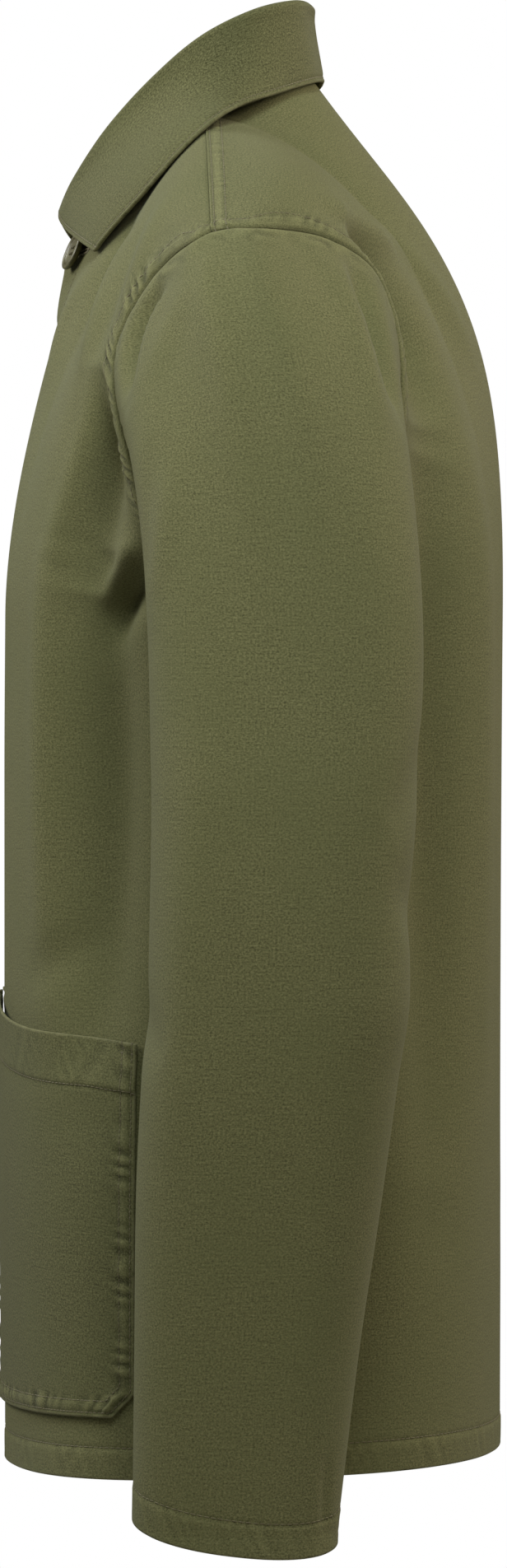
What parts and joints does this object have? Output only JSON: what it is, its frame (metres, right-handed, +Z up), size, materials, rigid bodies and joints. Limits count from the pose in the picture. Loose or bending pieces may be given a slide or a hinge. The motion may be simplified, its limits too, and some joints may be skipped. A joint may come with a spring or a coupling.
{
  "type": "chore jacket",
  "caption": "Chore jacket in olive cotton canvas, worn shape: turn-down collar, buttoned front, set-in sleeves and large patch pockets.",
  "frame": {"origin": "root of the neck, in the middle of the neckline between the two shoulder seams, where the wearer's shoulders carry the jacket", "axes": "+Z up, +X to the wearer's left, so the front faces -Y"},
  "size_m": [0.6558, 0.2539, 0.7568],
  "materials": {
    "cotton_canvas": "matte",
    "button_plastic": "satin"
  },
  "bodies": {
    "root": {"back": "cotton_canvas", "front_left": "cotton_canvas", "front_right": "cotton_canvas", "sleeve_left": "cotton_canvas", "sleeve_right": "cotton_canvas", "collar": "cotton_canvas", "pocket_left": "cotton_canvas", "pocket_right": "cotton_canvas", "button_1": "button_plastic", "button_2": "button_plastic", "button_3": "button_plastic", "button_4": "button_plastic", "button_5": "button_plastic"}
  },
  "joints": []
}
